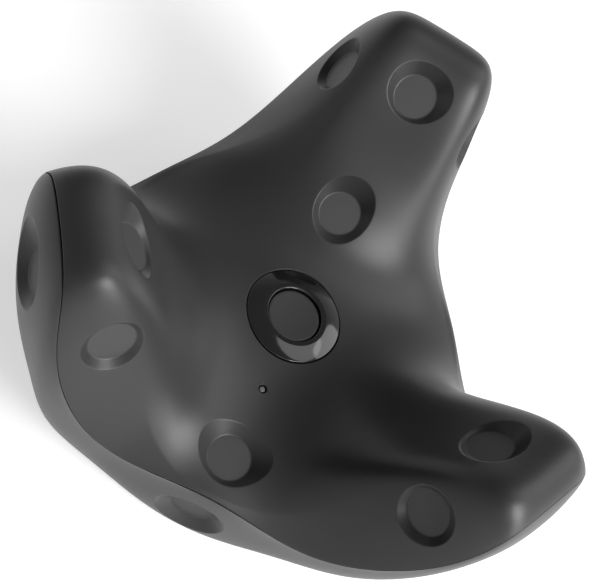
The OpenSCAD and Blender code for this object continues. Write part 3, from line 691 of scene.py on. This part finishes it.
def grain_group():
    """Fine moulded grain: a height, and a slow variation from 0 to 1."""
    group, into, out = new_group(
        "moulded_grain", [("Vector", "NodeSocketVector", None), ("Grain size mm", "NodeSocketFloat", 0.1)],
        [("Height", "NodeSocketFloat"), ("Variation", "NodeSocketFloat")])
    scale = math_node(group, "DIVIDE", 1 / MM, into.outputs["Grain size mm"])
    fine = noise(group, into.outputs["Vector"], scale, 3.0, 0.6)
    pits = node(group, "ShaderNodeTexVoronoi", {"Vector": into.outputs["Vector"], "Scale": scale},
                feature="SMOOTH_F1").outputs["Distance"]
    height = math_node(group, "ADD", math_node(group, "MULTIPLY", fine, 0.7), math_node(group, "MULTIPLY", pits, 0.3))
    slow = noise(group, into.outputs["Vector"], 90.0, 3.0, 0.55)
    group.links.new(height, out.inputs["Height"])
    group.links.new(slow, out.inputs["Variation"])
    return group


def speckle_group():
    """A mask of fine pale specks."""
    group, into, out = new_group(
        "specks", [("Vector", "NodeSocketVector", None), ("Speck size mm", "NodeSocketFloat", 0.15)],
        [("Mask", "NodeSocketFloat")])
    scale = math_node(group, "DIVIDE", 1 / MM, into.outputs["Speck size mm"])
    cells = node(group, "ShaderNodeTexVoronoi", {"Vector": into.outputs["Vector"], "Scale": scale}).outputs["Distance"]
    group.links.new(spread(group, cells, 0.1, 0.4, 1.0, 0.0), out.inputs["Mask"])
    return group


def brushed_group():
    """Fine parallel scratches along X: a height."""
    group, into, out = new_group(
        "brushed", [("Vector", "NodeSocketVector", None)], [("Height", "NodeSocketFloat")])
    stretched = node(group, "ShaderNodeMapping", {"Vector": into.outputs["Vector"], "Scale": (200.0, 9000.0, 9000.0)})
    group.links.new(noise(group, stretched.outputs["Vector"], 1.0, 3.0, 0.6), out.inputs["Height"])
    return group


GRAIN, SPECKS, BRUSHED = grain_group(), speckle_group(), brushed_group()


def shade(tone, share):
    return tuple(c * share for c in tone) + (1.0,)


def new_material(name, tone, rough, spec=0.5, metallic=0.0, grain=0.1, bump=0.02, vary=0.12, specks=0.0,
                 brushed=0.0, coat=0.0, rough_vary=0.08):
    """A plastic, rubber or metal: grain as bump, and slow changes of tone and roughness."""
    material = bpy.data.materials.new(name)
    material.use_nodes = True
    tree = material.node_tree
    tree.nodes.clear()
    where = node(tree, "ShaderNodeTexCoord").outputs["Object"]
    moulded = node(tree, "ShaderNodeGroup", node_tree=GRAIN)
    tree.links.new(where, moulded.inputs["Vector"])
    moulded.inputs["Grain size mm"].default_value = grain
    colour = node(tree, "ShaderNodeMix", data_type="RGBA")
    darker, lighter = [s for s in colour.inputs if s.type == "RGBA"]
    darker.default_value, lighter.default_value = shade(tone, 1 - vary), shade(tone, 1 + vary)
    mixing = spread(tree, moulded.outputs["Variation"], 0.3, 0.7, 0.0, 1.0)
    tree.links.new(mixing, colour.inputs["Factor"])
    result = next(s for s in colour.outputs if s.type == "RGBA")
    if specks:
        dots = node(tree, "ShaderNodeGroup", node_tree=SPECKS)
        tree.links.new(where, dots.inputs["Vector"])
        brighter = node(tree, "ShaderNodeMix", data_type="RGBA")
        sockets = [s for s in brighter.inputs if s.type == "RGBA"]
        tree.links.new(math_node(tree, "MULTIPLY", dots.outputs["Mask"], specks), brighter.inputs["Factor"])
        tree.links.new(result, sockets[0])
        sockets[1].default_value = shade(tone, 2.2)
        result = next(s for s in brighter.outputs if s.type == "RGBA")
    height = moulded.outputs["Height"]
    if brushed:
        lines = node(tree, "ShaderNodeGroup", node_tree=BRUSHED)
        tree.links.new(where, lines.inputs["Vector"])
        height = math_node(tree, "ADD", height, math_node(tree, "MULTIPLY", lines.outputs["Height"], brushed))
    relief = node(tree, "ShaderNodeBump", {"Height": height, "Strength": 1.0, "Distance": bump * MM})
    surface = node(tree, "ShaderNodeBsdfPrincipled", {
        "Base Color": result, "Metallic": metallic, "Normal": relief.outputs["Normal"],
        "Roughness": spread(tree, moulded.outputs["Variation"], 0.3, 0.7, rough - rough_vary, rough + rough_vary),
        "Specular IOR Level": spec, "Coat Weight": coat, "Coat Roughness": 0.04})
    out = node(tree, "ShaderNodeOutputMaterial")
    tree.links.new(surface.outputs["BSDF"], out.inputs["Surface"])
    return material


M = {
    "cover_plastic": new_material("cover_plastic", (0.03, 0.03, 0.031), 0.38, spec=0.28, bump=0.008,
                                  rough_vary=0.02, vary=0.05),
    "shell_plastic": new_material("shell_plastic", (0.045, 0.045, 0.046), 0.4, spec=0.3, bump=0.008,
                                  rough_vary=0.02, vary=0.05),
    "window_plastic": new_material("window_plastic", (0.04, 0.04, 0.041), 0.38, spec=0.3, bump=0.005,
                                   rough_vary=0.02, vary=0.05),
    "ring_gloss": new_material("ring_gloss", (0.008, 0.008, 0.009), 0.09, spec=0.7, bump=0.0004, vary=0.05,
                               rough_vary=0.02),
    "button_plastic": new_material("button_plastic", (0.036, 0.036, 0.037), 0.4, spec=0.32, bump=0.006),
    "switch_metal": new_material("switch_metal", (0.55, 0.55, 0.55), 0.35, metallic=1.0, brushed=0.6, bump=0.004),
    "light_lens": new_material("light_lens", (0.13, 0.13, 0.134), 0.35, bump=0.001, vary=0.04),
    "led_white": new_material("led_white", (0.85, 0.84, 0.76), 0.35, bump=0.003),
    "board_green": new_material("board_green", (0.02, 0.12, 0.06), 0.35, bump=0.01, grain=0.4, specks=0.3, coat=0.3),
    "chip_black": new_material("chip_black", (0.03, 0.03, 0.03), 0.6, bump=0.01, specks=0.2),
    "antenna_ceramic": new_material("antenna_ceramic", (0.78, 0.76, 0.7), 0.45, bump=0.006),
    "battery_film": new_material("battery_film", (0.2, 0.24, 0.3), 0.3, bump=0.02, grain=0.8, coat=0.4),
    "connector_ivory": new_material("connector_ivory", (0.8, 0.76, 0.64), 0.45, bump=0.004),
    "lead_red": new_material("lead_red", (0.45, 0.04, 0.03), 0.45, bump=0.004),
    "port_steel": new_material("port_steel", (0.62, 0.62, 0.64), 0.28, metallic=1.0, brushed=0.5, bump=0.002),
    "frame_grey": new_material("frame_grey", (0.2, 0.2, 0.22), 0.5, bump=0.01),
    "plate_plastic": new_material("plate_plastic", (0.07, 0.07, 0.07), 0.55, bump=0.012, specks=0.2),
    "insert_brass": new_material("insert_brass", (0.7, 0.55, 0.28), 0.3, metallic=1.0, bump=0.003, grain=0.2),
    "pad_rubber": new_material("pad_rubber", (0.035, 0.035, 0.036), 0.75, bump=0.03, grain=0.25, spec=0.35),
    "contact_gold": new_material("contact_gold", (0.83, 0.64, 0.25), 0.22, metallic=1.0, bump=0.001),
    "screw_steel": new_material("screw_steel", (0.5, 0.5, 0.5), 0.32, metallic=1.0, brushed=0.3, bump=0.003),
    "flex_amber": new_material("flex_amber", (0.5, 0.26, 0.06), 0.35, bump=0.006, grain=0.5),
    "sensor_board": new_material("sensor_board", (0.02, 0.09, 0.06), 0.4, bump=0.01, grain=0.4, specks=0.3),
}

for row in frame["record"]["subparts"]:
    carried = frame["nodes"][row["node"]]
    carried.data.materials.clear()
    carried.data.materials.append(M[row["material_slot"]])

cover = cover_skin().object("cover_moulding", [M["cover_plastic"], M["window_plastic"]])
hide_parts("top_cover")
bottom = bottom_skin().object("bottom_moulding", [M["shell_plastic"], M["window_plastic"]])
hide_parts("bottom_shell")


# Pieces that are turned or cut from simple shapes
def deselect():
    if bpy.context.object and bpy.context.object.mode != "OBJECT":
        bpy.ops.object.mode_set(mode="OBJECT")
    bpy.ops.object.select_all(action="DESELECT")


def finish_piece(name, material, body, replaced=None, angle=40):
    """Names the active object, smooths it, gives it its material and puts its place in its mesh."""
    made = bpy.context.object
    made.name = name
    made.data.name = name
    bpy.ops.object.transform_apply(location=True, rotation=True, scale=True)
    bpy.ops.object.shade_smooth_by_angle(angle=math.radians(angle))
    made.data.materials.clear()
    made.data.materials.append(M[material])
    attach(made, body)
    if replaced:
        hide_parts(replaced)
    deselect()
    return made


def turned(profile, sides=160):
    """A round solid from a profile of (radius, height). A profile that starts or ends at radius 0 is closed there."""
    deselect()
    points = [p for p in profile if p[0] > 0]
    bpy.ops.mesh.primitive_circle_add(vertices=sides, radius=points[0][0] * MM, fill_type="NOTHING",
                                      enter_editmode=True, location=(0, 0, 0))
    bpy.ops.mesh.select_all(action="SELECT")
    bpy.ops.transform.translate(value=(0, 0, points[0][1] * MM))
    if profile[0][0] == 0:
        bpy.ops.mesh.edge_face_add()
        bpy.ops.mesh.select_all(action="SELECT")
    before = points[0]
    rest = points[1:] if profile[-1][0] == 0 else points[1:] + points[:1]
    for r, z in rest:
        bpy.ops.mesh.extrude_region()
        bpy.ops.transform.translate(value=(0, 0, (z - before[1]) * MM))
        share = r / before[0]
        bpy.ops.transform.resize(value=(share, share, 1), center_override=(0, 0, 0))
        before = (r, z)
    if profile[-1][0] != 0:
        bpy.ops.mesh.select_all(action="SELECT")
        bpy.ops.mesh.remove_doubles(threshold=1e-7)
    bpy.ops.mesh.select_all(action="SELECT")
    bpy.ops.mesh.normals_make_consistent(inside=False)
    bpy.ops.object.mode_set(mode="OBJECT")


def arc(cr, cz, r, start, end, steps):
    """Points of a quarter rounding about (cr, cz), with angles in degrees."""
    return [(cr + r * math.cos(math.radians(a)), cz + r * math.sin(math.radians(a)))
            for a in np.linspace(start, end, steps + 1)]


def levels(name):
    """Lowest and highest z of a CAD node, and its reach along X."""
    low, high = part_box(name)
    return low.z / MM, high.z / MM, high.x / MM


# Button, its ring and the status light
ring_low, ring_top, ring_r = levels("button_ring")
RING_BORE = 4.05
RING_SLEEVE = 5.2
LIP_Z = SEAT_Z + 0.05
ROUNDING = 0.14
BEVEL = 0.42
RING_CREST = 4.6
turned([
    (RING_BORE, ring_low), (RING_SLEEVE, ring_low), (RING_SLEEVE, LIP_Z), (ring_r, LIP_Z),
    *arc(ring_r - ROUNDING, ring_top - BEVEL - ROUNDING, ROUNDING, 0, 70, 4),
    *arc(RING_CREST + ROUNDING, ring_top - 2 * ROUNDING, 2 * ROUNDING, 80, 90, 2),
    *arc(RING_BORE + ROUNDING, ring_top - ROUNDING, ROUNDING, 90, 180, 5)])
finish_piece("button_bezel", "ring_gloss", "housing", "button_ring", 24)

button_low, button_top, flange_r = levels("power_button")
FLANGE_T = 0.6
BUTTON_R = 3.9
BUTTON_EDGE = 0.22
DISH = 0.12
turned([
    (0, button_low), (flange_r, button_low), (flange_r, button_low + FLANGE_T), (BUTTON_R, button_low + FLANGE_T),
    *arc(BUTTON_R - BUTTON_EDGE, button_top - BUTTON_EDGE, BUTTON_EDGE, 0, 90, 6),
    (3.4, button_top - 0.02), (2.7, button_top - 0.06), (2.0, button_top - 0.1),
    (1.0, button_top - DISH), (0.3, button_top - DISH), (0, button_top - DISH)])
finish_piece("button_cap", "button_plastic", "button", "power_button", 30)

pipe_low, pipe_top, _ = levels("light_pipe")
PIPE_FOOT_R = 0.9
PIPE_FLANGE_R = 1.3
PIPE_FLANGE_T = 0.6
LIGHT_SIZE = 0.4
pipe_seat = float(inside_z(np.array(0.0), np.array(-LIGHT_R))) - 0.1
pipe_top = float(cover_z(np.array(0.0), np.array(-LIGHT_R))) - 0.18
turned([
    (0, pipe_low), (PIPE_FOOT_R, pipe_low), (PIPE_FOOT_R, pipe_seat - PIPE_FLANGE_T),
    (PIPE_FLANGE_R, pipe_seat - PIPE_FLANGE_T), (PIPE_FLANGE_R, pipe_seat), (LIGHT_SIZE, pipe_seat),
    *arc(LIGHT_SIZE - 0.08, pipe_top - 0.08, 0.08, 0, 90, 4), (0, pipe_top)], 48)
bpy.context.object.location = (0, -LIGHT_R * MM, 0)
finish_piece("status_lens", "light_lens", "housing", "light_pipe", 30)


# Charging port
def ringed_solid(name, rings, start, end, material):
    """A closed solid from rings about one axis, between a first and a last point."""
    skin = Skin()
    index = [skin.add(ring) for ring in rings]
    first, last = skin.add(start), skin.add(end)
    skin.fan(index[0], first[0])
    for k in range(len(index) - 1):
        skin.band(index[k + 1], index[k])
    skin.fan(index[-1][::-1], last[0])
    made = skin.object(name, [M[material]])
    return made


USB_W = 8.94
USB_H = 3.16
USB_L = 9.3
USB_SKIN = 0.3
USB_BACK = 0.8
MOUTH_R = VALLEY_R - 0.8
port_az = VALLEYS[1]
mouth = Opening((MOUTH_R * math.cos(port_az), MOUTH_R * math.sin(port_az), USB_Z), port_az, 0, over_wall,
                USB_W, USB_H, USB_L)


def port_ring(off, h):
    x, y = mouth.outline(off)
    return mouth.place(x, y, np.full(len(x), h))


lip = [port_ring(-USB_SKIN / 2 - r * USB_SKIN / 2, h) for r, h in (
    (math.cos(t), USB_SKIN / 2 * (math.sin(t) - 1)) for t in np.linspace(0, math.pi, 7))]
receptacle = ringed_solid(
    "usb_shell", [port_ring(-USB_SKIN, USB_BACK - USB_L), *lip, port_ring(0, -USB_L)],
    mouth.place(np.zeros(1), np.zeros(1), np.full(1, USB_BACK - USB_L)),
    mouth.place(np.zeros(1), np.zeros(1), np.full(1, -USB_L)), "port_steel")
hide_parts("usb_receptacle")


def at_port(depth, height=0.0):
    """A point on the port's axis, a depth behind its mouth."""
    r = MOUTH_R - depth
    return (r * math.cos(port_az) * MM, r * math.sin(port_az) * MM, (USB_Z + height) * MM)


def apply_modifiers():
    for m in list(bpy.context.object.modifiers):
        bpy.ops.object.modifier_apply(modifier=m.name)


def bevel(width, segments=3, angle=40):
    made = bpy.context.object.modifiers.new("bevel", "BEVEL")
    made.width, made.segments = width * MM, segments
    made.limit_method, made.angle_limit = "ANGLE", math.radians(angle)


TONGUE = (7.6, 6.6, 0.7)
TONGUE_INSET = 0.9
deselect()
bpy.ops.mesh.primitive_cube_add(size=1, location=at_port(TONGUE_INSET + TONGUE[0] / 2), rotation=(0, 0, port_az))
bpy.context.object.scale = [t * MM for t in TONGUE]
bpy.ops.object.transform_apply(location=False, rotation=False, scale=True)
bevel(0.15)
apply_modifiers()
finish_piece("port_tongue", "chip_black", "housing", "usb_tongue")

CONTACT = (4.6, 0.26, 0.05)
CONTACT_PITCH = 0.5
CONTACT_COUNT = 12
for side in (1, -1):
    deselect()
    bpy.ops.mesh.primitive_cube_add(
        size=1, location=at_port(TONGUE_INSET + 0.5 + CONTACT[0] / 2, side * TONGUE[2] / 2), rotation=(0, 0, port_az))
    bpy.context.object.scale = [t * MM for t in CONTACT]
    bpy.ops.object.transform_apply(location=False, rotation=False, scale=True)
    bpy.ops.object.mode_set(mode="EDIT")
    bpy.ops.mesh.select_all(action="SELECT")
    bpy.ops.transform.translate(value=(0, -(CONTACT_COUNT - 1) / 2 * CONTACT_PITCH * MM, 0), orient_type="LOCAL")
    bpy.ops.object.mode_set(mode="OBJECT")
    bevel(0.02, 2)
    row = bpy.context.object.modifiers.new("row", "ARRAY")
    row.count, row.use_relative_offset, row.use_constant_offset = CONTACT_COUNT, False, True
    row.constant_offset_displace = (0, CONTACT_PITCH * MM, 0)
    apply_modifiers()
    finish_piece("port_contacts_" + ("upper" if side > 0 else "lower"), "contact_gold", "housing")


# Underside: the rubber pad, cut open for the thread, the stabilising pin and the contacts
def slot_prism(width, height, depth, y):
    """An upright prism with round ends, about the ground."""
    deselect()
    bpy.ops.mesh.primitive_cylinder_add(vertices=64, radius=height / 2 * MM, depth=depth * MM)
    made = bpy.context.object
    reach = (width - height) / 2 * MM
    for v in made.data.vertices:
        if abs(v.co.x) > 1e-7:
            v.co.x += math.copysign(reach, v.co.x)
    made.location = (0, y * MM, 0)
    bpy.ops.object.transform_apply(location=True)
    return made


pad_low, pad_top, pad_r = levels("friction_pad")
# Width, height and place along Y of the holes for the insert, the stabilising pin and the contacts
PAD_HOLES = ((10.1, 10.1, 0), (5.2, 5.2, 13.5), (14.0, 4.0, -10.6))
CUTTER_DEPTH = 6
cutters = [slot_prism(w, h, CUTTER_DEPTH, y) for w, h, y in PAD_HOLES]
deselect()
bpy.ops.mesh.primitive_cylinder_add(
    vertices=256, radius=pad_r * MM, depth=(pad_top - pad_low) * MM, location=(0, 0, (pad_top + pad_low) / 2 * MM))
for c in cutters:
    cut = bpy.context.object.modifiers.new("cut", "BOOLEAN")
    cut.object, cut.operation, cut.solver = c, "DIFFERENCE", "EXACT"
apply_modifiers()
for c in cutters:
    bpy.data.objects.remove(c)
bevel(0.18, 3, 50)
apply_modifiers()
finish_piece("rubber_pad", "pad_rubber", "housing", "friction_pad", 35)


# Threaded insert, with the turns of its thread cut into the wall of the bore
INSERT_SIDES = 96
THREAD_LEVELS = 80
# The groove is full depth in the middle of a turn and fades to the crest on both sides
GROOVE_TOP = 1.15
GROOVE_SLOPE = 3.2


def insert_rings():
    low, top, flange = levels("thread_insert")
    sleeve, flange_t, chamfer = 4.75, 0.85, 0.15
    bore, turn_depth, pitch, end = 2.565, 0.6, 1.27, 6.0
    runout = 0.3
    a = np.arange(INSERT_SIDES) * 2 * math.pi / INSERT_SIDES

    def level(r, z):
        return polar(r + 0 * a, z + 0 * a, a)

    rings = [level(flange - chamfer, top), level(flange, top - chamfer), level(flange, top - flange_t),
             level(sleeve, top - flange_t), level(sleeve, low + chamfer), level(sleeve - chamfer, low)]
    for z in np.linspace(low, end, THREAD_LEVELS):
        phase = (z / pitch - a / (2 * math.pi)) % 1
        groove = np.clip(GROOVE_TOP - np.abs(phase - 0.5) * GROOVE_SLOPE, 0, 1)
        groove = groove * np.clip((end - runout - z) / runout, 0, 1)
        r = np.maximum(bore + turn_depth * groove, bore + turn_depth + 0.1 - (z - low))
        rings.append(polar(r, z + 0 * a, a))
    return rings, (0, 0, top), (0, 0, end)


insert = ringed_solid("threaded_insert", *insert_rings(), "insert_brass")
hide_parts("thread_insert")


# Floor, lamps, world and camera
def seen_directly(tree):
    """1 for the camera and in reflections, 0 for the light that falls on things."""
    path = node(tree, "ShaderNodeLightPath")
    seen = math_node(tree, "MAXIMUM", path.outputs["Is Camera Ray"], path.outputs["Is Glossy Ray"])
    return math_node(tree, "MAXIMUM", seen, path.outputs["Is Transmission Ray"])


WORLD_LIGHT = 0.04
# The backdrop is white to the camera. In reflections it is white from the ground up to the first of these heights
# of the direction, and dims to the share below at the second
REFLECTED_HEIGHTS = (0.1, 0.75)
REFLECTED_OVERHEAD = 0.2


def add_world():
    world = bpy.data.worlds.new("studio")
    bpy.context.scene.world = world
    world.use_nodes = True
    tree = world.node_tree
    tree.nodes.clear()
    ambient = node(tree, "ShaderNodeBackground", {"Color": (1, 1, 1, 1), "Strength": WORLD_LIGHT})
    across = node(tree, "ShaderNodeTexCoord").outputs["Generated"]
    height = node(tree, "ShaderNodeSeparateXYZ", {"Vector": across}).outputs["Z"]
    reflected = spread(tree, height, *REFLECTED_HEIGHTS, 1.0, REFLECTED_OVERHEAD)
    camera = node(tree, "ShaderNodeLightPath").outputs["Is Camera Ray"]
    plain = node(tree, "ShaderNodeBackground", {
        "Color": (1, 1, 1, 1), "Strength": math_node(tree, "MAXIMUM", reflected, camera)})
    mixed = node(tree, "ShaderNodeMixShader", {0: seen_directly(tree), 1: ambient.outputs[0], 2: plain.outputs[0]})
    out = node(tree, "ShaderNodeOutputWorld")
    tree.links.new(mixed.outputs[0], out.inputs["Surface"])


# The white of the floor near the object, and the distances in metres between which it rises to 1
FLOOR_GLOW = 0.62
FLOOR_FADE = (0.05, 0.2)


def add_floor():
    """A pale floor that keeps the shadow, and that is clear from below."""
    deselect()
    bpy.ops.mesh.primitive_plane_add(size=3, location=(0, 0, -0.00005))
    floor = bpy.context.object
    floor.name = "floor"
    material = bpy.data.materials.new("floor_paper")
    material.use_nodes = True
    tree = material.node_tree
    tree.nodes.clear()
    where = node(tree, "ShaderNodeTexCoord").outputs["Object"]
    tone = spread(tree, noise(tree, where, 30.0), 0.3, 0.7, 0.5, 0.53)
    paper = node(tree, "ShaderNodeBsdfDiffuse", {"Color": tone})
    distance = node(tree, "ShaderNodeVectorMath", {0: where}, operation="LENGTH").outputs["Value"]
    white = spread(tree, distance, *FLOOR_FADE, FLOOR_GLOW, 1.0)
    glow = node(tree, "ShaderNodeEmission", {
        "Color": (1, 1, 1, 1), "Strength": math_node(tree, "MULTIPLY", seen_directly(tree), white)})
    lit = node(tree, "ShaderNodeAddShader", {0: paper.outputs[0], 1: glow.outputs[0]})
    clear = node(tree, "ShaderNodeBsdfTransparent")
    behind = node(tree, "ShaderNodeNewGeometry").outputs["Backfacing"]
    mixed = node(tree, "ShaderNodeMixShader", {0: behind, 1: lit.outputs[0], 2: clear.outputs[0]})
    out = node(tree, "ShaderNodeOutputMaterial")
    tree.links.new(mixed.outputs[0], out.inputs["Surface"])
    floor.data.materials.append(material)


# Distance, size and target of the lamps in metres
LAMP_DISTANCE = 0.6
LAMP_SIZE = 0.35
LAMP_TARGET = Vector((0, 0, 0.02))
# Lamps as (name, azimuth, elevation, watts)
LAMPS = (
    ("key_right", 330, 38, 4.2),
    ("low_right", 330, 12, 1.4),
    ("front_right", 300, 38, 0.5),
    ("rim_right", 30, 38, 0.7),
    ("high_back", 30, 64, 0.5))


def add_lamp(name, azimuth, elevation, watts):
    data = bpy.data.lights.new(name, "AREA")
    data.shape, data.size, data.energy = "DISK", LAMP_SIZE, watts
    lamp = bpy.data.objects.new(name, data)
    a, e = math.radians(azimuth), math.radians(elevation)
    towards = Vector((math.cos(e) * math.cos(a), math.cos(e) * math.sin(a), math.sin(e)))
    lamp.location = LAMP_TARGET + towards * LAMP_DISTANCE
    lamp.rotation_mode = "QUATERNION"
    lamp.rotation_quaternion = towards.to_track_quat("Z", "Y")
    bpy.context.scene.collection.objects.link(lamp)


# The camera looks from the photograph's place. Its distance and aim are in millimetres
CAMERA_AZ = math.radians(251.744)
CAMERA_EL = math.radians(54.517)
CAMERA_ROLL = math.radians(44.491)
CAMERA_DISTANCE = 200.726
CAMERA_AIM = (0.803, 3.043)
FOCAL_PX = 1445.11
IMAGE_W = 600
SENSOR = 36


def add_camera():
    back = Vector((math.cos(CAMERA_EL) * math.cos(CAMERA_AZ), math.cos(CAMERA_EL) * math.sin(CAMERA_AZ),
                   math.sin(CAMERA_EL)))
    level = Vector((-math.sin(CAMERA_AZ), math.cos(CAMERA_AZ), 0))
    upright = back.cross(level)
    right = math.cos(CAMERA_ROLL) * level + math.sin(CAMERA_ROLL) * upright
    up = math.cos(CAMERA_ROLL) * upright - math.sin(CAMERA_ROLL) * level
    aim = Vector((0, 0, CENTRE_Z)) + CAMERA_AIM[0] * right + CAMERA_AIM[1] * up
    data = bpy.data.cameras.new("camera")
    data.sensor_width, data.lens = SENSOR, FOCAL_PX / IMAGE_W * SENSOR
    data.clip_start, data.clip_end = 0.01, 10
    camera = bpy.data.objects.new("camera", data)
    turn = Matrix((right, up, back)).transposed().to_4x4()
    camera.matrix_world = Matrix.Translation((aim + back * CAMERA_DISTANCE) * MM) @ turn
    bpy.context.scene.collection.objects.link(camera)
    bpy.context.scene.camera = camera


add_world()
add_floor()
for lamp in LAMPS:
    add_lamp(*lamp)
add_camera()
bpy.context.scene.view_settings.view_transform = "Standard"
